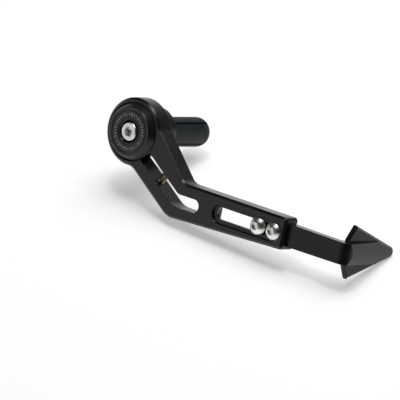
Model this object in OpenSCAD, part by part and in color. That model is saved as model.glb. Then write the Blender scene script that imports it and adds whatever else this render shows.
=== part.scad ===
// Bar-end brake lever guard: a split-clamp arm, a sliding arrow tip and the bar-end anchor that carries them.
// X runs forward along the arm, Y inward along the handlebar, Z up.
// The origin is on the bar's axis, in the flange face that the end of the bar seats on.

/* [Bar anchor] */
// Diameter of the expanding plug that goes into the bar
plug_d = 16.2; // [13:0.1:18]
// Length of the plug inside the bar
plug_len = 37.5; // [30:0.5:50]
// Radius of the plug's rounded free end
plug_round = 2.3; // [2:0.1:2.5]
// Width of each lengthwise slit in the plug
slit_w = 1; // [0.6:0.1:1.6]
// Depth of each slit
slit_depth = 1.6; // [1:0.1:1.8]
// Diameter of the flange that seats on the bar's end
flange_d = 27; // [24:0.5:30]
// Thickness of that flange
flange_t = 10.6; // [6:0.2:16]
// Diameter of the hub that the arm clamps on
hub_d = 22; // [20:0.2:24]
// How many slits the plug has
slit_count = 4; // [2:1:6]
// Turn of the first slit about the bar's axis
slit_turn = 48; // [40:1:56]
// Length of the cone nut
cone_len = 11; // [8:0.5:14]
// Diameter of the cone nut's wide end
cone_d = 10.2; // [9:0.1:10.6]
// Wall of the cone nut round its thread, at the narrow end
cone_wall = 0.9; // [0.7:0.1:1.2]
// How far the cone nut sits inside the plug's free end
cone_inset = 1; // [0.5:0.1:2]

/* [End cap] */
// Diameter of the cap where it meets the arm
cap_d = 31.4; // [28:0.2:32]
// Diameter of the cap's flat face
cap_face_d = 27.4; // [25:0.2:27.8]
// How far the cap's face stands out of the arm
cap_proud = 3.3; // [2.6:0.1:5]
// How deep the cap is let into the arm's head
cap_sunk = 0.9; // [0.5:0.1:1.5]
// Height of the straight band at the foot of the cap
cap_band = 0.5; // [0.3:0.1:1]
// Diameter of the outer turned groove in the cap's face
groove_d = 23; // [21:0.1:23.6]
// Diameter of the inner turned groove
inner_groove_d = 14.2; // [13.8:0.1:16]
// Width and depth of both grooves
groove_w = 0.55; // [0.3:0.05:0.8]
// Diameter of the recess round the centre bolt's head
bolt_recess_d = 12.2; // [10.8:0.1:12.6]
// How far the centre bolt's head stands out of the cap's face
bolt_proud = 0.3; // [0.1:0.1:0.6]
// Wall of the cap's boss round that recess
boss_wall = 2.4; // [2:0.1:2.6]
// Wall of the boss under the centre bolt's head
seat_wall = 3; // [2:0.1:4]

/* [Arm] */
// Thickness of the arm plate
arm_t = 10.4; // [9.6:0.1:12]
// Diameter of the round clamp head
head_d = 36.8; // [36:0.2:42]
// Distance from the bar's axis down to the slide's centre line
drop = 27; // [24:0.5:31]
// Angle of the diagonal's upper edge below level
upper_angle = 44.5; // [41:0.5:47]
// Distance from the bar's axis to the upper edge
upper_off = 16.6; // [15.5:0.1:17.4]
// Angle of the diagonal's lower edge below level
lower_angle = 33.6; // [31:0.2:36]
// Distance from the bar's axis to the lower edge
lower_off = 13.4; // [12.5:0.1:14.6]
// Height of the top edge above the slide's centre line
arm_up = 9.3; // [8.6:0.1:11]
// Depth of the bottom edge below that line, at the free end
arm_down = 8.2; // [7.8:0.1:10]
// Angle at which the bottom edge falls towards the elbow
arm_taper = 2.15; // [0:0.05:3]
// Bevel along the front edge
front_bevel = 1.2; // [0.4:0.1:1.6]
// Bevel along the rear edge
rear_bevel = 0.7; // [0.3:0.1:1]
// Radius on the inner side of the elbow
elbow_in_r = 8; // [6:0.5:10]
// Radius on the outer side of the elbow
elbow_out_r = 13; // [11:0.5:15]
// Radius where the diagonal leaves the head
neck_r = 9; // [7:0.5:11]
// Radius of the free end's corners
end_r = 2; // [1.5:0.1:2.5]

/* [Clamp slot] */
// Width of the bent slot that lets the head close
relief_w = 7.2; // [6:0.1:8]
// Angle of the slot's diagonal run below level
relief_angle = 33.3; // [32:0.1:35]
// Distance from the bar's axis to the diagonal run's centre line
relief_off = 2.55; // [2:0.05:3]
// How far the level run lies below the slide's centre line
relief_low = 0.9; // [0:0.1:1.5]
// Length of the level run, from the bend to the centre of its round end
relief_run = 12.7; // [9:0.1:15]
// Radius of the slot's bend, on its centre line
relief_bend = 8; // [6:0.5:10]
// Distance of the pinch screw along the diagonal run
pinch_at = 30.1; // [27:0.1:33]

/* [Slide] */
// How far the tip slides
travel = 25.5; // [16:0.5:32]
// Spacing of the two slide bolts
bolt_pitch = 11.1; // [10.8:0.1:14]
// Distance from the elbow to the centre of the slot's first round end
slot_lead = 27.7; // [27:0.1:34]
// Distance from the slot's last round end's centre to the arm's free end
end_lead = 7.9; // [7:0.1:12]
// Depth of the recess that the bolt heads run in
recess_depth = 1.3; // [0.8:0.1:1.6]
// Depth of the strap's front face behind the arm's front face
strap_depth = 3.5; // [3.2:0.1:4]

/* [Tip] */
// Thickness of the strap
strap_t = 5.5; // [4:0.1:6]
// Height of the strap where it runs in the arm
strap_h = 12.3; // [11:0.1:12.8]
// Height of the strap at its bend
strap_h_end = 11.8; // [10:0.1:12.8]
// Distance from the last bolt to the start of the bend
strap_out = 43.5; // [34:0.5:60]
// Distance of the arrow's back face behind the start of the bend
arrow_back = 2.7; // [1.5:0.1:3]
// Angle by which the arrow's front leans back from square
arrow_lean = 8; // [5:0.5:8.5]
// Radius of the crowned front of the arrow
crown_r = 18; // [14:1:40]
// Thickness of the arrow's wings
wing_t = 3; // [2.4:0.1:3.4]
// Half the span of the wings
wing_span = 14.7; // [12:0.1:18]
// Distance from the strap's rear face inward to the wings' root
root_back = 1.6; // [1.2:0.1:2]
// How far the wings' root stands out beyond the arrow's body
root_side = 0.9; // [0.6:0.1:1.2]
// Distance from the strap's rear face inward to the wings' corners
wing_back = 6.4; // [4:0.1:9]
// Distance from the strap's rear face inward to where the crown runs out over the wings
crown_run = 26; // [24:0.5:28]
// Distance from the strap's rear face inward to the point of the arrow
arrow_len = 42.6; // [40:0.2:50]
// Radius of the arrow's point
point_r = 3; // [2:0.1:4]
// Bevel along the wings' long edges
wing_bevel = 1.2; // [0.6:0.1:1.6]
// Inside radius where the arrow's body rises out of the wings
fillet_r = 1; // [0.6:0.1:1.4]
// Inside radius between the strap's rear face and the arrow's back
inner_r = 2; // [1:0.1:2.6]

/* [Screws] */
// Thread diameter of the centre bolt and the slide bolts
bolt_d = 6; // [5:0.5:6]
// Length of the slide bolts under their heads
slide_bolt_len = 8; // [6:1:10]
// Thread diameter of the pinch screw
pinch_d = 4; // [3:0.5:4]
// Length of the pinch screw under its head
pinch_len = 16; // [14:1:20]
// How far the pinch screw's head is sunk below the lower edge
pinch_sunk = 0.6; // [0.3:0.1:1]

/* [Hidden] */

$fn = 96;
fit = 0.05;            // running and seating clearance
slip = 0.3;            // clearance of a head or shank in its slot
edge = 0.35;           // small broken edge on slots and turned corners
over = 1;              // overlap that carries a cut past a face
reach = 0.35;          // the same for the small bevel cutters
bulge = 0.03;          // how much arcs swell, so that they cross the straight edges beside them cleanly

// Places along the bar, and the slide's line
arm_rear = -flange_t;
arm_front = arm_rear - arm_t;
cap_face_y = arm_front - cap_proud;
cap_foot_y = arm_front + cap_sunk;
slide_z = -drop;
strap_front_y = arm_front + strap_depth;
strap_rear_y = strap_front_y + strap_t;

// Screw heads: socket cap heads are one thread tall, button heads follow their thread
cap_head_d = bolt_d * 10 / 6;
hex_centre = bolt_d * 5 / 6;
button_d = bolt_d * 10.4 / 6;
button_h = bolt_d * 3.3 / 6;
hex_button = bolt_d * 4 / 6;
pinch_head_d = pinch_d * 7 / 4;
hex_pinch = pinch_d * 3 / 4;
bolt_hole_r = bolt_d / 2 + slip;
thread_r = bolt_d / 2 + fit;
socket_share = 0.5;    // part of a head's height that its socket takes
recess_w = button_d + 2 * slip;
slot_w = bolt_d + 2 * slip;

// Centre bolt, its seat in the cap's boss, and the cone at its end
centre_head_y = cap_face_y - bolt_proud;
centre_seat_y = centre_head_y + bolt_d;
boss_end_y = centre_seat_y + seat_wall;
boss_r = bolt_recess_d / 2 + boss_wall;
cone_tip_r = bolt_d / 2 + cone_wall;
cone_big_r = cone_d / 2;
cone_y = plug_len - cone_inset - cone_len;
bolt_short = 0.1;      // how far the bolt ends inside the nut
centre_bolt_len = cone_y + cone_len - bolt_short - centre_seat_y;

// Lines of the arm's outline in side view, as a point and an angle
upper_normal = [sin(upper_angle), cos(upper_angle)];
lower_normal = -[sin(lower_angle), cos(lower_angle)];
head_r = head_d / 2;
upper_foot = upper_off * upper_normal;
lower_foot = lower_off * lower_normal;
top_z = slide_z + arm_up;
elbow_in = meet(upper_foot, -upper_angle, [0, top_z], 0);
slot_x0 = elbow_in[0] + slot_lead;
slot_x1 = slot_x0 + travel + bolt_pitch;
arm_end_x = slot_x1 + end_lead;
bottom_end = [arm_end_x, slide_z - arm_down];
elbow_out = meet(lower_foot, -lower_angle, bottom_end, arm_taper);

// Centre line of the clamp slot
relief_dir = [cos(relief_angle), -sin(relief_angle)];
relief_normal = [sin(relief_angle), cos(relief_angle)];
relief_foot = -relief_off * relief_normal;
relief_z = slide_z - relief_low;
relief_corner = meet(relief_foot, -relief_angle, [0, relief_z], 0);
relief_end = relief_corner + [relief_run, 0];
pinch_point = relief_foot + pinch_at * relief_dir;
pinch_low = lower_off - relief_off + pinch_at * sin(lower_angle - relief_angle);
pinch_seat = pinch_d + pinch_sunk - pinch_low;

// Tip: bolts at the outer end of the slot at rest
bolt_x = [slot_x1 - bolt_pitch, slot_x1];
strap_x0 = bolt_x[0] - bolt_d;
channel_x0 = strap_x0 - travel - over;
bend_x = slot_x1 + strap_out;
arrow_back_x = bend_x - arrow_back;
wing_x = arrow_back_x + wing_t;
arrow_tip_y = strap_rear_y + arrow_len;
wing_y = strap_rear_y + wing_back;
panel_half = strap_h_end / 2;
panel_dir = [-sin(arrow_lean), cos(arrow_lean)];
panel_start = [bend_x, strap_rear_y] + strap_t * [cos(arrow_lean), sin(arrow_lean)];
blend_y = strap_rear_y + crown_run;
bend = [bend_x, strap_rear_y];
inner_corner = [arrow_back_x, strap_rear_y];
panel_end = panel_start + panel_dir * ((arrow_tip_y - panel_start[1]) / panel_dir[1]);

// The arrow's outline with x inward and y up from the slide's line
wing_root = [strap_rear_y + root_back, panel_half + root_side];
wing_corner = [wing_y, wing_span];
point_c = [arrow_tip_y - point_r, 0];
point_far = norm(wing_corner - point_c);
point_angle = heading(point_c - wing_corner) + asin(point_r / point_far);
sharp_point = [wing_corner[0] - wing_corner[1] / tan(point_angle), 0];
point_run = sqrt(point_far * point_far - point_r * point_r);
point_t = wing_corner + point_run * [cos(point_angle), sin(point_angle)];

// A point mirrored to the other side of the slide's line
function flip(p) = [p[0], -p[1]];

// Where the line through p at angle a meets the line through q at angle b
function meet(p, a, q, b) =
    let (u = [cos(a), sin(a)], v = [cos(b), sin(b)], d = q - p)
    p + u * (d[0] * v[1] - d[1] * v[0]) / (u[0] * v[1] - u[1] * v[0]);

// Unit vector, and its angle
function unit(v) = v / norm(v);
function heading(v) = atan2(v[1], v[0]);

// A rounded corner at p between directions u and v: centre, and the two tangent points
function half_turn(u, v) = acos(u * v) / 2;
function round_centre(p, u, v, r) = p + unit(u + v) * r / sin(half_turn(u, v));
function tangent_on(p, u, v, r) = p + u * r / tan(half_turn(u, v));

// A fillet between the head's circle and a straight edge with outward normal n, on the side of direction s
function neck_centre(n, off, s) =
    let (out = off + neck_r, far = head_r + neck_r)
    out * n + sqrt(far * far - out * out) * s;

// Directions of the outline's edges, away from each corner
to_head_up = [-cos(upper_angle), sin(upper_angle)];
to_head_low = [-cos(lower_angle), sin(lower_angle)];
to_end = [1, 0];
to_end_low = [cos(arm_taper), sin(arm_taper)];
in_c = round_centre(elbow_in, to_head_up, to_end, elbow_in_r);
in_a = tangent_on(elbow_in, to_head_up, to_end, elbow_in_r);
in_b = tangent_on(elbow_in, to_end, to_head_up, elbow_in_r);
out_c = round_centre(elbow_out, to_end_low, to_head_low, elbow_out_r);
out_a = tangent_on(elbow_out, to_end_low, to_head_low, elbow_out_r);
out_b = tangent_on(elbow_out, to_head_low, to_end_low, elbow_out_r);
neck_up_c = neck_centre(upper_normal, upper_off, -to_head_up);
neck_low_c = neck_centre(lower_normal, lower_off, -to_head_low);
neck_up_t = neck_up_c - neck_r * upper_normal;
neck_low_t = neck_low_c - neck_r * lower_normal;
top_end = [arm_end_x, top_z];
end_up_c = round_centre(top_end, -to_end, [0, -1], end_r);
end_up_a = tangent_on(top_end, -to_end, [0, -1], end_r);
end_up_b = tangent_on(top_end, [0, -1], -to_end, end_r);
end_low_c = round_centre(bottom_end, -to_end_low, [0, 1], end_r);
end_low_a = tangent_on(bottom_end, -to_end_low, [0, 1], end_r);
end_low_b = tangent_on(bottom_end, [0, 1], -to_end_low, end_r);

// Bend of the clamp slot
bend_c = round_centre(relief_corner, -relief_dir, to_end, relief_bend);
relief_floor = [0, relief_z - relief_w / 2];
relief_low_corner = meet(relief_foot - relief_w / 2 * relief_normal, -relief_angle, relief_floor, 0);

// Places what is drawn as a plan with its thickness in Z, so that it stands in side view with its front at -Y
module side_view(rear_y) {
    translate([0, rear_y, 0]) rotate([90, 0, 0]) children();
}

// Places what is turned about Z, so that +Z runs inward along the bar
module along_bar(y = 0) {
    translate([0, y, 0]) rotate([-90, 0, 0]) children();
}

// Extrudes each child by itself, which keeps every outline a single face
module slab(t) {
    for (i = [0 : $children - 1])
        linear_extrude(t) children(i);
}

// Sharp profile of a bevel of size c on an edge at height t; way is 1 for the front face and -1 for the rear
function bevel_profile(c, t, way) =
    [[-c - reach, t + way * reach], [reach, t + way * reach], [reach, t - way * (c + reach)]];

// Bevel along a straight edge from a to b, with the outside on its left
module bevel_line(a, b, c, t, way = 1) {
    translate(a) rotate([0, 0, heading(b - a)]) rotate([90, 0, 90])
        linear_extrude(norm(b - a)) polygon(bevel_profile(c, t, way));
}

// Bevel along an outward arc
module bevel_arc(centre, r, from, sweep, c, t, way = 1) {
    translate(centre) rotate([0, 0, from]) rotate_extrude(angle = sweep)
        translate([r, 0]) polygon(bevel_profile(c, t, way));
}

// Bevel round an inward arc or a hole: a cone that widens towards the face at height t
module bevel_cone(centre, r, c, t, way = 1) {
    deep = c + reach;
    low = way > 0 ? r - reach : r + deep;
    high = way > 0 ? r + deep : r - reach;
    translate([centre[0], centre[1], way > 0 ? t - deep : t - reach])
        cylinder(h = deep + reach, r1 = low, r2 = high);
}

// Pie slice of a circle, between directions a and b seen from its centre
module pie(centre, r, corner, a, b) {
    intersection() {
        translate(centre) circle(r);
        polygon([centre, a, corner, b]);
    }
}

// What rounding takes off an outward corner
module corner_cut(centre, r, corner, a, b) {
    difference() {
        polygon([a, corner + over * unit(corner - centre), b]);
        translate(centre) circle(r + bulge);
    }
}

// What lies outside the head, between the two fillets where the arm leaves it
module outside_head() {
    far = 2 * head_d;
    difference() {
        polygon([[0, 0], far * unit(neck_up_c), [-far, far], [-far, -far], far * unit(neck_low_c)]);
        circle(head_r);
    }
}

module arm_outline() {
    difference() {
        polygon([neck_up_c, neck_up_t, in_a, in_b, top_end, bottom_end, elbow_out, neck_low_t, neck_low_c,
                 [-head_d, -head_d], [-head_d, head_d]]);
        outside_head();
        translate(neck_up_c) circle(neck_r + bulge);
        translate(neck_low_c) circle(neck_r + bulge);
        translate(in_c) circle(elbow_in_r + bulge);
        corner_cut(out_c, elbow_out_r, elbow_out, out_a, out_b);
        corner_cut(end_up_c, end_r, top_end, end_up_a, end_up_b);
        corner_cut(end_low_c, end_r, bottom_end, end_low_a, end_low_b);
    }
}

// Bevels round the arm's whole outline, on its front or rear edge
module arm_bevels(c, t, way) {
    up_at = heading(neck_up_c);
    low_at = heading(neck_low_c);
    low_from = heading(lower_normal);
    inset = 1;         // degrees, so that the head's bevel ends inside those of its two fillets
    bevel_arc([0, 0], head_r, up_at + inset, low_at + 360 - up_at - 2 * inset, c, t, way);
    bevel_cone(neck_up_c, neck_r + bulge, c, t, way);
    bevel_line(neck_up_t, in_a, c, t, way);
    bevel_cone(in_c, elbow_in_r + bulge, c, t, way);
    bevel_line(in_b, top_end, c, t, way);
    bevel_arc(end_up_c, end_r + bulge, 0, 90, c, t, way);
    bevel_line(top_end, bottom_end, c, t, way);
    bevel_arc(end_low_c, end_r + bulge, arm_taper - 90, 90 - arm_taper, c, t, way);
    bevel_line(bottom_end, elbow_out, c, t, way);
    bevel_arc(out_c, elbow_out_r + bulge, low_from, arm_taper - 90 - low_from, c, t, way);
    bevel_line(elbow_out, neck_low_t, c, t, way);
    bevel_cone(neck_low_c, neck_r + bulge, c, t, way);
}

// A round-ended slot between two points
module stadium(a, b, w, t) slab(t) {
    translate(a) circle(w / 2 + bulge);
    translate(b) circle(w / 2 + bulge);
    translate(a) rotate(heading(b - a)) translate([0, -w / 2]) square([norm(b - a), w]);
}

// The clamp slot: out of the bore, round the elbow and level to its round end
module relief_cut(t) {
    half = relief_w / 2;
    inner = relief_bend - half;
    outer = relief_bend + half;
    slab(t) difference() {
        polygon([relief_foot - half * relief_normal, relief_low_corner, relief_end - [0, half],
                 relief_end + [0, half], bend_c - [0, inner], bend_c, bend_c - inner * relief_normal,
                 relief_foot + half * relief_normal]);
        translate(bend_c) circle(inner + bulge);
        corner_cut(bend_c, outer, relief_low_corner, bend_c - outer * relief_normal, bend_c - [0, outer]);
    }
    translate(relief_end) cylinder(h = t, r = half + bulge);
}

// The recess, slot and rear channel that the tip slides in, in the arm's own plan
module slide_cuts() {
    a = [slot_x0, slide_z];
    b = [slot_x1, slide_z];
    half = recess_w / 2;
    channel_h = strap_h + 2 * fit;
    floor_h = arm_t - strap_depth + fit;
    translate([0, 0, arm_t - recess_depth]) stadium(a, b, recess_w, recess_depth + over);
    bevel_line(b + [0, half], a + [0, half], edge, arm_t);
    bevel_line(a - [0, half], b - [0, half], edge, arm_t);
    bevel_cone(a, half + bulge, edge, arm_t);
    bevel_cone(b, half + bulge, edge, arm_t);
    translate([0, 0, -over]) stadium(a, b, slot_w, arm_t + over);
    translate([channel_x0, slide_z - channel_h / 2, -over])
        cube([arm_end_x - channel_x0 + over, channel_h, floor_h + over]);
}

// The pinch screw's line: counterbore from the lower edge, clearance to the slot, thread beyond it
module along_pinch(from) {
    translate([pinch_point[0], pinch_point[1], arm_t / 2])
        rotate([0, 0, heading(relief_normal)]) rotate([0, 90, 0]) translate([0, 0, from]) children();
}

module pinch_cuts() {
    along_pinch(-pinch_low - 2 * over)
        cylinder(h = pinch_seat + pinch_low + 2 * over, r = pinch_head_d / 2 + slip);
    along_pinch(pinch_seat - over) cylinder(h = over - pinch_seat, r = pinch_d / 2 + slip);
    along_pinch(0) cylinder(h = pinch_seat + pinch_len + over, r = pinch_d / 2 + fit);
}

module arm() {
    color("#1c1c1d") side_view(arm_rear) difference() {
        linear_extrude(arm_t) arm_outline();
        arm_bevels(front_bevel, arm_t, 1);
        arm_bevels(rear_bevel, 0, -1);
        translate([0, 0, -over]) cylinder(h = arm_t + 2 * over, r = hub_d / 2 + fit);
        translate([0, 0, arm_t - cap_sunk - fit]) cylinder(h = cap_sunk + over + fit, r = cap_d / 2 + slip);
        translate([0, 0, -over]) relief_cut(arm_t + 2 * over);
        slide_cuts();
        pinch_cuts();
    }
}

// Side profile of the tip in the X-Y plane: strap, bend and leaning arrow body
module tip_profile() slab(2 * strap_h) {
    translate([strap_x0, strap_front_y]) square([bend_x - strap_x0, strap_t]);
    pie(bend, strap_t, bend + strap_t * [2, -2], bend - [0, 2 * strap_t], bend + 2 * (panel_start - bend));
    polygon([inner_corner - [0, over], bend - [0, over], bend, panel_start, panel_end,
             [arrow_back_x, arrow_tip_y]]);
    difference() {
        translate(inner_corner - [inner_r, over]) square([inner_r + over, inner_r + over]);
        translate(inner_corner + [-inner_r, inner_r]) circle(inner_r);
    }
}

// Front view of the strap and body, which narrow towards the bend
module tip_width() slab(arrow_tip_y - arm_front + over) {
    half = strap_h / 2;
    far = bend_x + 2 * strap_t;
    polygon([[strap_x0, slide_z - half], [arm_end_x, slide_z - half], [bend_x, slide_z - panel_half],
             [far, slide_z - panel_half], [far, slide_z + panel_half], [bend_x, slide_z + panel_half],
             [arm_end_x, slide_z + half], [strap_x0, slide_z + half]]);
}

// Stands a plan of the arrow upright: x inward, y up, thickness forward
module arrow_view(x) {
    translate([x, 0, slide_z]) rotate([90, 0, 90]) children();
}

// The arrow's outline, before its point is rounded
module arrow_plate(t) slab(t)
    polygon([wing_root, wing_corner, sharp_point, flip(wing_corner), flip(wing_root)]);

// What the rounding takes off the point
module point_cut(t) slab(t) difference() {
    polygon([point_t, sharp_point + [over, 0], flip(point_t)]);
    translate(point_c) rotate(180) circle(point_r);
}

module wing_bevels() {
    turn = heading(point_t - point_c);
    bevel_line(wing_corner, point_t, wing_bevel, wing_t);
    bevel_arc(point_c, point_r, -turn, 2 * turn, wing_bevel, wing_t);
    bevel_line(flip(point_t), flip(wing_corner), wing_bevel, wing_t);
    bevel_line(wing_root, wing_corner, edge, wing_t);
    bevel_line(flip(wing_corner), flip(wing_root), edge, wing_t);
}

// What lies in front of the arrow's crowned surface, from y inward
module above_crown(y) {
    axis_at = panel_start - crown_r * [cos(arrow_lean), sin(arrow_lean)];
    length = 2 * arrow_len;
    difference() {
        translate([wing_x - 2 * wing_t, y, slide_z - wing_span - over])
            cube([6 * strap_t, length, 2 * (wing_span + over)]);
        translate([axis_at[0], axis_at[1], slide_z]) rotate([0, 0, arrow_lean])
            rotate([90, 0, 0]) rotate([0, 0, 180]) cylinder(h = 3 * length, r = crown_r, center = true);
    }
}

// Small inside radius where the arrow's body rises out of the wings
module body_fillets() {
    for (side = [0, 1])
        arrow_view(wing_x) mirror([0, side, 0]) translate([strap_rear_y, panel_half, 0]) rotate([90, 0, 90])
            linear_extrude(arrow_len - 3 * point_r) difference() {
                translate([-edge, -edge]) square(fillet_r + edge);
                translate([fillet_r, fillet_r]) circle(fillet_r);
            }
}

// What lies outside the arrow's outline around its point
module outside_point() {
    arrow_view(arrow_back_x - over) difference() {
        translate([wing_y, -wing_span, 0]) cube([arrow_len, 2 * wing_span, 3 * strap_t]);
        translate([0, 0, -over]) arrow_plate(3 * strap_t + 2 * over);
    }
}

// Strap, bend and crowned body of the arrow
module tip_body() {
    difference() {
        union() {
            intersection() {
                translate([0, 0, slide_z - strap_h]) tip_profile();
                side_view(arrow_tip_y) tip_width();
            }
            body_fillets();
        }
        above_crown(strap_front_y - over);
        outside_point();
    }
}

// The whole tip before its long edges are bevelled
module tip_blank() {
    difference() {
        union() {
            difference() {
                arrow_view(arrow_back_x) arrow_plate(wing_t);
                above_crown(blend_y);
            }
            tip_body();
        }
        arrow_view(arrow_back_x - over) point_cut(wing_t + 3 * over);
    }
}

module tip() {
    color("#202124") difference() {
        difference() {
            tip_blank();
            arrow_view(arrow_back_x) wing_bevels();
        }
        for (x = bolt_x)
            translate([x, 0, slide_z]) along_bar(strap_front_y - over)
                cylinder(h = strap_t + 2 * over, r = thread_r);
    }
}

module end_cap() {
    cap_r = cap_d / 2;
    face_r = cap_face_d / 2;
    recess_r = bolt_recess_d / 2;
    height = cap_foot_y - cap_face_y;
    color("#1d1d1e") along_bar(cap_face_y) difference() {
        union() {
            rotate_extrude() polygon([[0, 0], [face_r - edge, 0], [face_r, edge], [cap_r, height - cap_band],
                                      [cap_r, height], [0, height]]);
            cylinder(h = boss_end_y - cap_face_y, r = boss_r);
        }
        for (d = [groove_d, inner_groove_d])
            rotate_extrude() translate([d / 2 - groove_w / 2, -over]) square([groove_w, groove_w + over]);
        translate([0, 0, -over]) cylinder(h = centre_seat_y - cap_face_y + over, r = recess_r);
        translate([0, 0, -edge]) cylinder(h = 2 * edge, r1 = recess_r + 2 * edge, r2 = recess_r);
        cylinder(h = boss_end_y - cap_face_y + over, r = bolt_hole_r);
    }
}

// Turned hub with the flange that the bar's end seats on
module hub() {
    foot = cap_foot_y + fit;
    color("#222223") along_bar(0) difference() {
        union() {
            translate([0, 0, -flange_t + fit]) rotate_extrude()
                polygon([[0, 0], [flange_d / 2 - edge, 0], [flange_d / 2, edge],
                         [flange_d / 2, flange_t - fit - edge], [flange_d / 2 - edge, flange_t - fit],
                         [0, flange_t - fit]]);
            translate([0, 0, foot]) cylinder(h = -flange_t - foot + over, r = hub_d / 2);
        }
        translate([0, 0, foot - over]) cylinder(h = boss_end_y + fit - foot + over, r = boss_r + fit);
        translate([0, 0, boss_end_y]) cylinder(h = over - boss_end_y, r = bolt_hole_r);
    }
}

// Rubber plug with lengthwise slits and a conical mouth for the nut
module expander_plug() {
    r = plug_d / 2;
    round_r = min(plug_round, r - cone_big_r - edge);
    mouth_end = cone_y + cone_len;
    color("#26292b") along_bar(0) difference() {
        rotate_extrude() difference() {
            polygon([[bolt_hole_r, 0], [r, 0], [r, plug_len], [cone_big_r + fit, plug_len],
                     [cone_big_r + fit, mouth_end], [cone_tip_r + fit, cone_y], [bolt_hole_r, cone_y]]);
            translate([r - round_r, plug_len - round_r]) difference() {
                square(round_r + over);
                circle(round_r);
            }
        }
        for (i = [0 : slit_count - 1])
            rotate([0, 0, slit_turn + i * 360 / slit_count]) translate([r - slit_depth, -slit_w / 2, -over])
                cube([slit_depth + over, slit_w, plug_len + 2 * over]);
    }
}

// Threaded cone that the centre bolt draws into the plug
module cone_nut() {
    color("#b9bbbe") along_bar(cone_y) difference() {
        cylinder(h = cone_len, r1 = cone_tip_r, r2 = cone_big_r);
        translate([0, 0, -over]) cylinder(h = cone_len + 2 * over, r = thread_r);
    }
}

// Shank along +Z with a chamfered end; its root is inside the head
module shank(d, length) {
    r = d / 2;
    chamfer = d / 8;
    rotate_extrude()
        polygon([[0, -over], [r, -over], [r, length - chamfer], [r - chamfer, length], [0, length]]);
}

// Hexagonal socket of width w across its flats, in a head of height h
module socket(w, h, deep) {
    translate([0, 0, -h - over]) cylinder(h = deep + over, d = w / cos(30), $fn = 6);
}

// Socket cap screw along +Z, its head in front of z = 0
module cap_screw(d, head_d, hex, length) {
    rim = d / 12;
    difference() {
        union() {
            translate([0, 0, -d]) rotate_extrude()
                polygon([[0, 0], [head_d / 2 - rim, 0], [head_d / 2, rim], [head_d / 2, d], [0, d]]);
            shank(d, length);
        }
        socket(hex, d, socket_share * d);
    }
}

module centre_bolt() {
    color("#d6d8da") along_bar(centre_seat_y) cap_screw(bolt_d, cap_head_d, hex_centre, centre_bolt_len);
}

module pinch_screw() {
    color("#8f8676") side_view(arm_rear) along_pinch(pinch_seat)
        cap_screw(pinch_d, pinch_head_d, hex_pinch, pinch_len);
}

// Button-head screw along +Z, its head in front of z = 0
module button_screw(length) {
    rim = 0.25;
    crown = (button_d * button_d / 4 + pow(button_h - rim, 2)) / (2 * (button_h - rim));
    difference() {
        union() {
            rotate_extrude() intersection() {
                translate([0, crown - button_h]) circle(crown);
                translate([0, -button_h]) square([button_d / 2, button_h]);
            }
            shank(bolt_d, length);
        }
        socket(hex_button, button_h, socket_share * button_h);
    }
}

module slide_bolt(x) {
    color("#dcdee0") translate([x, 0, slide_z]) along_bar(arm_front + recess_depth - fit)
        button_screw(slide_bolt_len);
}

module slide_bolt_rear() slide_bolt(bolt_x[0]);
module slide_bolt_front() slide_bolt(bolt_x[1]);

arm();
tip();
end_cap();
hub();
expander_plug();
cone_nut();
centre_bolt();
pinch_screw();
slide_bolt_rear();
slide_bolt_front();
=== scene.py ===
import math
import bmesh
import bpy
from mathutils import Matrix, Vector


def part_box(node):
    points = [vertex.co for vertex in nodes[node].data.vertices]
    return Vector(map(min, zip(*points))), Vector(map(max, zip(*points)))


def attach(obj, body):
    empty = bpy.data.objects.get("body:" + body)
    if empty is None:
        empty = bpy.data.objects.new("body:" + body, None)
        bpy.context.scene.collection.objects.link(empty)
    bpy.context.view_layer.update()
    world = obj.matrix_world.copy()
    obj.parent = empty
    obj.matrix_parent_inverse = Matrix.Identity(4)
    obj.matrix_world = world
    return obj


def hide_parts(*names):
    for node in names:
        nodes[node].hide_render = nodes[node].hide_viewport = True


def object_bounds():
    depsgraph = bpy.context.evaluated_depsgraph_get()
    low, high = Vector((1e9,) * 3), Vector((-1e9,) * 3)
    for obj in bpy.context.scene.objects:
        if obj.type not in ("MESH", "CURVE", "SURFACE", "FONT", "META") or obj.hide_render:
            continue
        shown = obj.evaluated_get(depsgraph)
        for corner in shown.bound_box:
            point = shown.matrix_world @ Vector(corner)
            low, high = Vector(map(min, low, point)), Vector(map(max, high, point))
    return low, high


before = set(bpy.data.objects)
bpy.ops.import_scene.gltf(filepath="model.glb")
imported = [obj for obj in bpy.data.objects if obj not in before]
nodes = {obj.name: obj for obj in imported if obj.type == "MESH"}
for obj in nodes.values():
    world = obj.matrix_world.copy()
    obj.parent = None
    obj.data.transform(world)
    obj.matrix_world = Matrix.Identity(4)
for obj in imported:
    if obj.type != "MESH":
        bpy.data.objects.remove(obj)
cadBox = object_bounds()
mm = 0.001

# The view: a long lens from far off, tilted as in the photograph
view = {
    "right": (0.756, 0.623, 0.203),
    "up": (-0.259, 0.0, 0.966),
    "distance": 8.0,                    # far off, for a long lens; the other views clip at 100 radii, reached at about 10
    "sensor": 36.0,
    "pixelsPerMm": 1.86,
    "originPixel": (157.0, 131.6),      # where the frame's origin lies in the photograph
    "frameSide": 400,
    "near": 1.0,
    "far": 50.0,
}


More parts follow.
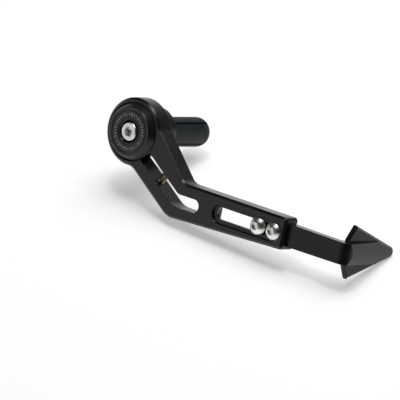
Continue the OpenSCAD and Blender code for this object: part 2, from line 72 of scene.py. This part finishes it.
def setCamera():
    right = Vector(view["right"]).normalized()
    back = right.cross(Vector(view["up"])).normalized()
    up = back.cross(right)              # square to the other two
    side = view["frameSide"]
    perPixel = mm / view["pixelsPerMm"]
    across = (side / 2 - view["originPixel"][0]) * perPixel
    upward = (view["originPixel"][1] - side / 2) * perPixel
    data = bpy.data.cameras.new("camera")
    data.sensor_width = view["sensor"]
    data.lens = view["sensor"] * view["distance"] / (side * perPixel)
    data.clip_start = view["near"]
    data.clip_end = view["far"]
    camera = bpy.data.objects.new("camera", data)
    bpy.context.scene.collection.objects.link(camera)
    turn = Matrix((right, up, back)).transposed().to_4x4()
    spot = right * across + up * upward + back * view["distance"]
    camera.matrix_world = Matrix.Translation(spot) @ turn
    bpy.context.scene.camera = camera


setCamera()
print("camera set")


class Wire:
    def __init__(self, tree, socket):
        self.tree = tree
        self.socket = socket

    def math(self, kind, *others, clamp=False):
        node = self.tree.nodes.new("ShaderNodeMath")
        node.operation = kind
        node.use_clamp = clamp
        for slotAt, value in enumerate((self,) + others):
            if isinstance(value, Wire):
                self.tree.links.new(value.socket, node.inputs[slotAt])
            else:
                node.inputs[slotAt].default_value = value
        return Wire(self.tree, node.outputs[0])

    def __add__(self, other): return self.math("ADD", other)
    def __mul__(self, other): return self.math("MULTIPLY", other)


# Which output or input of a node is meant, where names repeat
outlets = {"object": 3, "direction": 0, "value": 1, "backfacing": 6, "colour": 2, "cameraRay": 0}
colourInlets = (6, 7)
bevelSamples = 8


def addNode(tree, kind, settings=None, values=None, output=0):
    made = tree.nodes.new(kind)
    for name, value in (settings or {}).items():
        setattr(made, name, value)
    for name, value in (values or {}).items():
        if isinstance(value, Wire):
            tree.links.new(value.socket, made.inputs[name])
        else:
            made.inputs[name].default_value = value
    return Wire(tree, made.outputs[output])


def ramp(wire, low, high, fromValue, toValue):
    return addNode(wire.tree, "ShaderNodeMapRange", {"interpolation_type": "SMOOTHSTEP"},
                   {"Value": wire, "From Min": low, "From Max": high, "To Min": fromValue, "To Max": toValue})


def blendColours(wire, first, second):
    mixed = addNode(wire.tree, "ShaderNodeMix", {"data_type": "RGBA"}, {"Factor": wire},
                    output=outlets["colour"])
    made = mixed.socket.node
    for at, value in zip(colourInlets, (first, second)):
        if isinstance(value, Wire):
            wire.tree.links.new(value.socket, made.inputs[at])
        else:
            made.inputs[at].default_value = value
    return mixed


def startMaterial(name, constants):
    material = bpy.data.materials.new(name)
    material.use_nodes = True
    tree = material.node_tree
    shader = tree.nodes["Principled BSDF"]
    for key, value in constants.items():
        shader.inputs[key].default_value = value
    place = addNode(tree, "ShaderNodeTexCoord", output=outlets["object"])
    return material, tree, shader, place


def grain(place, scale, detail=3.0, rough=0.55):
    return addNode(place.tree, "ShaderNodeTexNoise", None,
                   {"Vector": place, "Scale": scale, "Detail": detail, "Roughness": rough})


def towards(tree, looked, way):
    share = addNode(tree, "ShaderNodeVectorMath", {"operation": "DOT_PRODUCT"}, None, output=outlets["value"])
    tree.links.new(looked.socket, share.socket.node.inputs[0])
    share.socket.node.inputs[1].default_value = way
    return share


def feed(shader, key, wire):
    wire.tree.links.new(wire.socket, shader.inputs[key])


def roundEdges(tree, radius, height, strength, distance):
    soft = addNode(tree, "ShaderNodeBevel", {"samples": bevelSamples}, {"Radius": radius})
    return addNode(tree, "ShaderNodeBump", None,
                   {"Strength": strength, "Distance": distance, "Height": height, "Normal": soft})


def grey(value):
    return (value, value, value, 1.0)


def mixShaders(tree, factor, first, second):
    both = tree.nodes.new("ShaderNodeMixShader")
    tree.links.new(factor.socket, both.inputs[0])
    tree.links.new(first, both.inputs[1])
    tree.links.new(second, both.inputs[2])
    return both.outputs[0]


def seenRays(tree):
    camera = addNode(tree, "ShaderNodeLightPath")
    outputs = camera.socket.node.outputs
    glossy = Wire(tree, outputs["Is Glossy Ray"])
    passed = Wire(tree, outputs["Is Transmission Ray"])
    return camera.math("ADD", glossy).math("ADD", passed, clamp=True)


# Black anodised plate: blasted satin skin, a little uneven in depth of colour
armFinish = {"base": 0.005, "tint": (1.0, 1.0, 0.97), "ior": 1.45, "roughness": 0.28, "edge": 0.3 * mm}
tipFinish = {"base": 0.008, "tint": (0.9, 1.05, 1.3), "ior": 1.33, "roughness": 0.24, "edge": 0.3 * mm}
blasted = {"fine": 2600.0, "patches": 55.0, "thin": 0.75, "deep": 1.3, "patchFrom": 0.35, "patchTo": 0.65,
           "smoother": 0.04, "rougher": 0.06, "bump": 0.12, "bumpDepth": 0.02 * mm}


def anodised(name, finish):
    material, tree, shader, place = startMaterial(name, {"Metallic": 0.0, "IOR": finish["ior"]})
    fine = grain(place, blasted["fine"])
    broad = grain(place, blasted["patches"])
    base = [finish["base"] * share for share in finish["tint"]]
    thin = (*[value * blasted["thin"] for value in base], 1.0)
    deep = (*[value * blasted["deep"] for value in base], 1.0)
    rough = finish["roughness"]
    patches = ramp(broad, blasted["patchFrom"], blasted["patchTo"], 0.0, 1.0)
    feed(shader, "Base Color", blendColours(patches, thin, deep))
    feed(shader, "Roughness", ramp(broad + fine * 0.5, 0.5, 1.0, rough - blasted["smoother"],
                                   rough + blasted["rougher"]))
    feed(shader, "Normal", roundEdges(tree, finish["edge"], fine, blasted["bump"], blasted["bumpDepth"]))
    return material


# Turned black parts: tool rings round the bar's axis
capFinish = {"base": 0.008, "roughness": 0.3, "edge": 0.2 * mm, "feedPitch": 0.12 * mm}
hubFinish = {"base": 0.005, "roughness": 0.34, "edge": 0.4 * mm, "feedPitch": 0.2 * mm}
latheCut = {"fine": 2600.0, "ior": 1.5, "darker": 0.8, "lighter": 1.25, "smoother": 0.03, "rougher": 0.05,
            "cutShare": 0.6, "grainShare": 0.4, "bump": 0.12, "bumpDepth": 0.01 * mm}


def aroundBar(place):
    split = addNode(place.tree, "ShaderNodeSeparateXYZ", None, {"Vector": place})
    parts = split.socket.node.outputs
    x, z = Wire(place.tree, parts[0]), Wire(place.tree, parts[2])
    return (x * x + z * z).math("SQRT"), Wire(place.tree, parts[1])


def turned(name, finish):
    material, tree, shader, place = startMaterial(name, {"Metallic": 0.0, "IOR": latheCut["ior"]})
    radius, along = aroundBar(place)
    fine = grain(place, latheCut["fine"])
    cuts = ((radius + along) * (2 * math.pi / finish["feedPitch"])).math("SINE") * 0.5 + 0.5
    base, rough = finish["base"], finish["roughness"]
    dark, light = grey(base * latheCut["darker"]), grey(base * latheCut["lighter"])
    feed(shader, "Base Color", blendColours(cuts * 0.5 + fine * 0.5, dark, light))
    feed(shader, "Roughness", ramp(fine, 0.3, 0.7, rough - latheCut["smoother"], rough + latheCut["rougher"]))
    height = cuts * latheCut["cutShare"] + fine * latheCut["grainShare"]
    feed(shader, "Normal", roundEdges(tree, finish["edge"], height, latheCut["bump"], latheCut["bumpDepth"]))
    return material


# Plug: matte rubbery plastic, faintly blue-green
plugFinish = {"low": (0.005, 0.008, 0.009, 1.0), "high": (0.009, 0.014, 0.016, 1.0), "roughness": 0.52,
              "specular": 0.3, "edge": 0.3 * mm, "ior": 1.45, "fine": 900.0, "patches": 110.0,
              "smoother": 0.05, "rougher": 0.08, "bump": 0.2, "bumpDepth": 0.04 * mm}


def rubber(name, finish):
    constants = {"IOR": finish["ior"], "Specular IOR Level": finish["specular"]}
    material, tree, shader, place = startMaterial(name, constants)
    fine = grain(place, finish["fine"], 4.0)
    broad = grain(place, finish["patches"])
    rough = finish["roughness"]
    patches = ramp(broad, 0.3, 0.7, 0.0, 1.0)
    feed(shader, "Base Color", blendColours(patches, finish["low"], finish["high"]))
    feed(shader, "Roughness", ramp(fine, 0.3, 0.7, rough - finish["smoother"], rough + finish["rougher"]))
    feed(shader, "Normal", roundEdges(tree, finish["edge"], fine, finish["bump"], finish["bumpDepth"]))
    return material


# Bright screws, the turned nut, and the oiled pinch screw with its thread along its own axis
screwFinish = {"colour": (0.95, 0.95, 0.92), "roughness": 0.36, "edge": 0.1 * mm}
nutFinish = {"colour": (0.52, 0.52, 0.53), "roughness": 0.3, "edge": 0.2 * mm}
pinchFinish = {"colour": (0.66, 0.57, 0.43), "roughness": 0.34, "edge": 0.15 * mm,
               "axis": (0.549, 0.0, 0.8358), "pitch": 0.7 * mm, "threadDepth": 0.2 * mm}
rolled = {"fine": 1800.0, "patches": 240.0, "worn": 0.82, "smoother": 0.05, "rougher": 0.06, "bump": 0.1,
          "bumpDepth": 0.01 * mm}


def steel(name, finish):
    material, tree, shader, place = startMaterial(name, {"Metallic": 1.0})
    fine = grain(place, rolled["fine"])
    broad = grain(place, rolled["patches"])
    rough = finish["roughness"]
    worn = (*[share * rolled["worn"] for share in finish["colour"]], 1.0)
    patches = ramp(broad, 0.3, 0.7, 0.0, 1.0)
    feed(shader, "Base Color", blendColours(patches, worn, (*finish["colour"], 1.0)))
    feed(shader, "Roughness", ramp(fine + broad, 0.7, 1.3, rough - rolled["smoother"],
                                   rough + rolled["rougher"]))
    height, depth, strength = fine, rolled["bumpDepth"], rolled["bump"]
    if "axis" in finish:
        along = towards(tree, place, finish["axis"])
        height = (along * (2 * math.pi / finish["pitch"])).math("SINE") * 0.5 + 0.5
        depth, strength = finish["threadDepth"], 1.0
    feed(shader, "Normal", roundEdges(tree, finish["edge"], height, strength, depth))
    return material


def dress(nodeName, material):
    data = nodes[nodeName].data
    if not data.materials:
        data.materials.append(material)
    for at in range(len(data.materials)):
        data.materials[at] = material


dress("arm", anodised("armBlack", armFinish))
dress("tip", anodised("tipBlack", tipFinish))
dress("end_cap", turned("capBlack", capFinish))
dress("hub", turned("hubBlack", hubFinish))
dress("cone_nut", steel("nutSteel", nutFinish))
stainless = steel("stainless", screwFinish)
for bolt in ("centre_bolt", "slide_bolt_rear", "slide_bolt_front"):
    dress(bolt, stainless)
dress("pinch_screw", steel("pinchSteel", pinchFinish))
print("materials set")


# Plug: a split sleeve whose fingers end in a long soft curve, opened inside for the cone
plug = {"radius": 8.1 * mm, "length": 37.5 * mm, "slits": 4, "slitTurn": math.radians(41),
        "slitWidth": 1.0 * mm, "slitDepth": 1.6 * mm, "endAlong": 5.0 * mm, "endIn": 2.3 * mm, "endSteps": 14,
        "fingerSteps": 24, "lip": 0.05 * mm, "sharpFrom": math.radians(32),
        "bore": ((0.0, 3.3 * mm), (25.5 * mm, 3.3 * mm), (25.51 * mm, 3.95 * mm), (36.5 * mm, 5.15 * mm),
                 (37.5 * mm, 5.15 * mm))}


def sleeveRadius(y):
    past = max(0.0, (y - plug["length"] + plug["endAlong"]) / plug["endAlong"])
    return plug["radius"] - plug["endIn"] * (1 - math.sqrt(max(0.0, 1 - past * past)))


def boreRadius(y):
    for (y0, r0), (y1, r1) in zip(plug["bore"], plug["bore"][1:]):
        if y <= y1:
            return r0 + (r1 - r0) * (y - y0) / (y1 - y0)
    return plug["bore"][-1][1]


def sleeveLoop(radius):
    floor = min(plug["radius"] - plug["slitDepth"], radius - plug["lip"])
    outerHalf = math.asin(plug["slitWidth"] / 2 / radius)
    floorHalf = math.asin(plug["slitWidth"] / 2 / floor)
    quarter = 2 * math.pi / plug["slits"]
    points = []
    for at in range(plug["slits"]):
        start = plug["slitTurn"] + at * quarter
        points += [(start - floorHalf, floor), (start + floorHalf, floor)]
        for step in range(plug["fingerSteps"] + 1):
            share = step / plug["fingerSteps"]
            points.append((start + outerHalf + share * (quarter - 2 * outerHalf), radius))
    return points


def mouldPlug():
    curveStart = plug["length"] - plug["endAlong"]
    places = {y for y, r in plug["bore"]} | {curveStart}
    for step in range(plug["endSteps"]):
        places.add(curveStart + plug["endAlong"] * math.sin(step / plug["endSteps"] * math.pi / 2))
    bm = bmesh.new()
    rows = []
    for y in sorted(places):
        loop = sleeveLoop(sleeveRadius(y))
        inner = boreRadius(y)
        rows.append([[bm.verts.new((r * math.cos(a), y, -r * math.sin(a))) for a, r in ring]
                     for ring in (loop, [(a, inner) for a, r in loop])])
    count = len(rows[0][0])
    for at in range(count):
        after = (at + 1) % count
        for low, high in zip(rows, rows[1:]):
            for side in range(2):
                bm.faces.new((low[side][at], low[side][after], high[side][after], high[side][at]))
        for row in (rows[0], rows[-1]):
            bm.faces.new((row[0][at], row[0][after], row[1][after], row[1][at]))
    bmesh.ops.recalc_face_normals(bm, faces=bm.faces[:])
    data = bpy.data.meshes.new("splitPlug")
    bm.to_mesh(data)
    bm.free()
    data.shade_smooth()
    data.set_sharp_from_angle(angle=plug["sharpFrom"])
    data.materials.append(rubber("plugRubber", plugFinish))
    sleeve = bpy.data.objects.new("splitPlug", data)
    bpy.context.scene.collection.objects.link(sleeve)
    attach(sleeve, "bar_anchor")
    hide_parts("expander_plug")


mouldPlug()
print("plug moulded")


# Plain scale of short ticks between the cap's two grooves
tickRing = {"radius": 9.35 * mm, "count": 36, "longEvery": 3, "long": 1.7 * mm, "short": 1.0 * mm,
            "width": 0.4 * mm, "proud": 0.03 * mm, "sunk": 0.1 * mm, "soft": 0.02 * mm, "softSteps": 2,
            "paint": 0.4, "worn": 0.14, "wear": 1500.0, "ior": 1.45, "smooth": 0.5, "rough": 0.7}


def engravedPaint():
    material, tree, shader, place = startMaterial("tickPaint", {"IOR": tickRing["ior"]})
    wear = grain(place, tickRing["wear"], 4.0)
    kept = ramp(wear, 0.35, 0.6, 0.0, 1.0)
    feed(shader, "Base Color", blendColours(kept, grey(tickRing["worn"]), grey(tickRing["paint"])))
    feed(shader, "Roughness", ramp(wear, 0.3, 0.7, tickRing["smooth"], tickRing["rough"]))
    return material


def cutTicks():
    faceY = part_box("end_cap")[0][1]
    deep = tickRing["proud"] + tickRing["sunk"]
    bm = bmesh.new()
    for at in range(tickRing["count"]):
        length = tickRing["short"] if at % tickRing["longEvery"] else tickRing["long"]
        made = bmesh.ops.create_cube(bm, size=1.0)["verts"]
        bmesh.ops.scale(bm, verts=made, vec=(length, deep, tickRing["width"]))
        bmesh.ops.translate(bm, verts=made, vec=(tickRing["radius"], faceY - tickRing["proud"] + deep / 2, 0.0))
        turn = Matrix.Rotation(at * 2 * math.pi / tickRing["count"], 3, "Y")
        bmesh.ops.rotate(bm, verts=made, cent=(0.0, 0.0, 0.0), matrix=turn)
    bmesh.ops.bevel(bm, geom=bm.edges[:], offset=tickRing["soft"], segments=tickRing["softSteps"], profile=0.5,
                    affect="EDGES")
    bmesh.ops.recalc_face_normals(bm, faces=bm.faces[:])
    data = bpy.data.meshes.new("capTicks")
    bm.to_mesh(data)
    bm.free()
    data.materials.append(engravedPaint())
    ticks = bpy.data.objects.new("capTicks", data)
    bpy.context.scene.collection.objects.link(ticks)
    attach(ticks, "bar_anchor")


cutTicks()
print("ticks cut")


# The table: a pale round sheet that fades out before its edge
table = {"up": (0.074, -0.426, 0.90), "radius": 0.4, "fadeFrom": 0.22, "fadeTo": 0.37, "colour": 0.94,
         "ownLight": 0.42, "gap": 0.1 * mm, "corners": 96}
tableUp = Vector(table["up"]).normalized()


def tableMaterial():
    material = bpy.data.materials.new("tableWhite")
    material.use_nodes = True
    tree = material.node_tree
    shader = tree.nodes["Principled BSDF"]
    shader.inputs["Base Color"].default_value = grey(table["colour"])
    shader.inputs["Roughness"].default_value = 1.0
    shader.inputs["Specular IOR Level"].default_value = 0.0
    glow = tree.nodes.new("ShaderNodeEmission")
    glow.inputs["Strength"].default_value = 1.0
    lit = mixShaders(tree, seenRays(tree) * table["ownLight"], shader.outputs[0], glow.outputs[0])
    place = addNode(tree, "ShaderNodeTexCoord", output=outlets["object"])
    away = addNode(tree, "ShaderNodeVectorMath", {"operation": "LENGTH"}, None,
                   output=outlets["value"])
    tree.links.new(place.socket, away.socket.node.inputs[0])
    behind = addNode(tree, "ShaderNodeNewGeometry", output=outlets["backfacing"])
    unseen = ramp(away, table["fadeFrom"], table["fadeTo"], 0.0, 1.0).math("MAXIMUM", behind)
    clear = tree.nodes.new("ShaderNodeBsdfTransparent")
    surface = tree.nodes["Material Output"].inputs["Surface"]
    tree.links.new(mixShaders(tree, unseen, lit, clear.outputs[0]), surface)
    return material


def layTable():
    level = min(Vector(v.co).dot(tableUp) for piece in nodes.values() for v in piece.data.vertices)
    bm = bmesh.new()
    bmesh.ops.create_circle(bm, cap_ends=True, segments=table["corners"], radius=table["radius"])
    data = bpy.data.meshes.new("table")
    bm.to_mesh(data)
    bm.free()
    data.materials.append(tableMaterial())
    sheet = bpy.data.objects.new("table", data)
    bpy.context.scene.collection.objects.link(sheet)
    turn = tableUp.to_track_quat("Z", "Y").to_matrix().to_4x4()
    middle = (Vector(cadBox[0]) + Vector(cadBox[1])) / 2
    foot = middle + tableUp * (level - table["gap"] - middle.dot(tableUp))
    sheet.matrix_world = Matrix.Translation(foot) @ turn


# The room: bright at the left, dark at the right and above
room = {"left": (-1.0, 0.0, 0.0), "bright": 1.1, "dark": 0.0, "darkFrom": -0.55, "brightFrom": 0.55,
        "highFrom": 0.1, "highTo": 0.42, "overhead": 0.03}


def lightRoom():
    world = bpy.data.worlds.new("studio")
    bpy.context.scene.world = world
    world.use_nodes = True
    tree = world.node_tree
    tree.nodes.clear()
    looked = addNode(tree, "ShaderNodeTexCoord", output=outlets["direction"])
    leftward, upward = towards(tree, looked, room["left"]), towards(tree, looked, tableUp)
    side = ramp(leftward, room["darkFrom"], room["brightFrom"], room["dark"], room["bright"])
    high = ramp(upward, room["highFrom"], room["highTo"], 1.0, room["overhead"])
    glow = tree.nodes.new("ShaderNodeBackground")
    tree.links.new((side * high).socket, glow.inputs["Strength"])
    plain = tree.nodes.new("ShaderNodeBackground")
    plain.inputs["Strength"].default_value = 1.0
    plain.inputs["Color"].default_value = grey(1.0)
    out = tree.nodes.new("ShaderNodeOutputWorld")
    cameraRays = addNode(tree, "ShaderNodeLightPath", output=outlets["cameraRay"])
    tree.links.new(mixShaders(tree, cameraRays, glow.outputs[0], plain.outputs[0]), out.inputs["Surface"])


# Soft lamps; only the small one over the table shows in the metal
lamps = {
    "wide": {"way": (0.1, -0.1, 1.0), "distance": 1.6, "size": 1.6, "power": 30.0, "inGloss": False},
    "small": {"way": (0.074, -0.426, 0.90), "distance": 1.4, "size": 0.3, "power": 5.0, "inGloss": True},
}
lampAim = Vector((0.07, 0.0, -0.02))


def hangLamp(name, lamp):
    data = bpy.data.lights.new(name, "AREA")
    data.shape = "SQUARE"
    data.size = lamp["size"]
    data.energy = lamp["power"]
    made = bpy.data.objects.new(name, data)
    bpy.context.scene.collection.objects.link(made)
    way = Vector(lamp["way"]).normalized()
    made.location = way * lamp["distance"] + lampAim
    made.rotation_euler = way.to_track_quat("Z", "Y").to_euler()
    made.visible_glossy = lamp["inGloss"]
    made.visible_camera = False


layTable()
lightRoom()
for name, lamp in lamps.items():
    hangLamp(name, lamp)
bpy.context.scene.view_settings.view_transform = "Standard"
print("stage set")
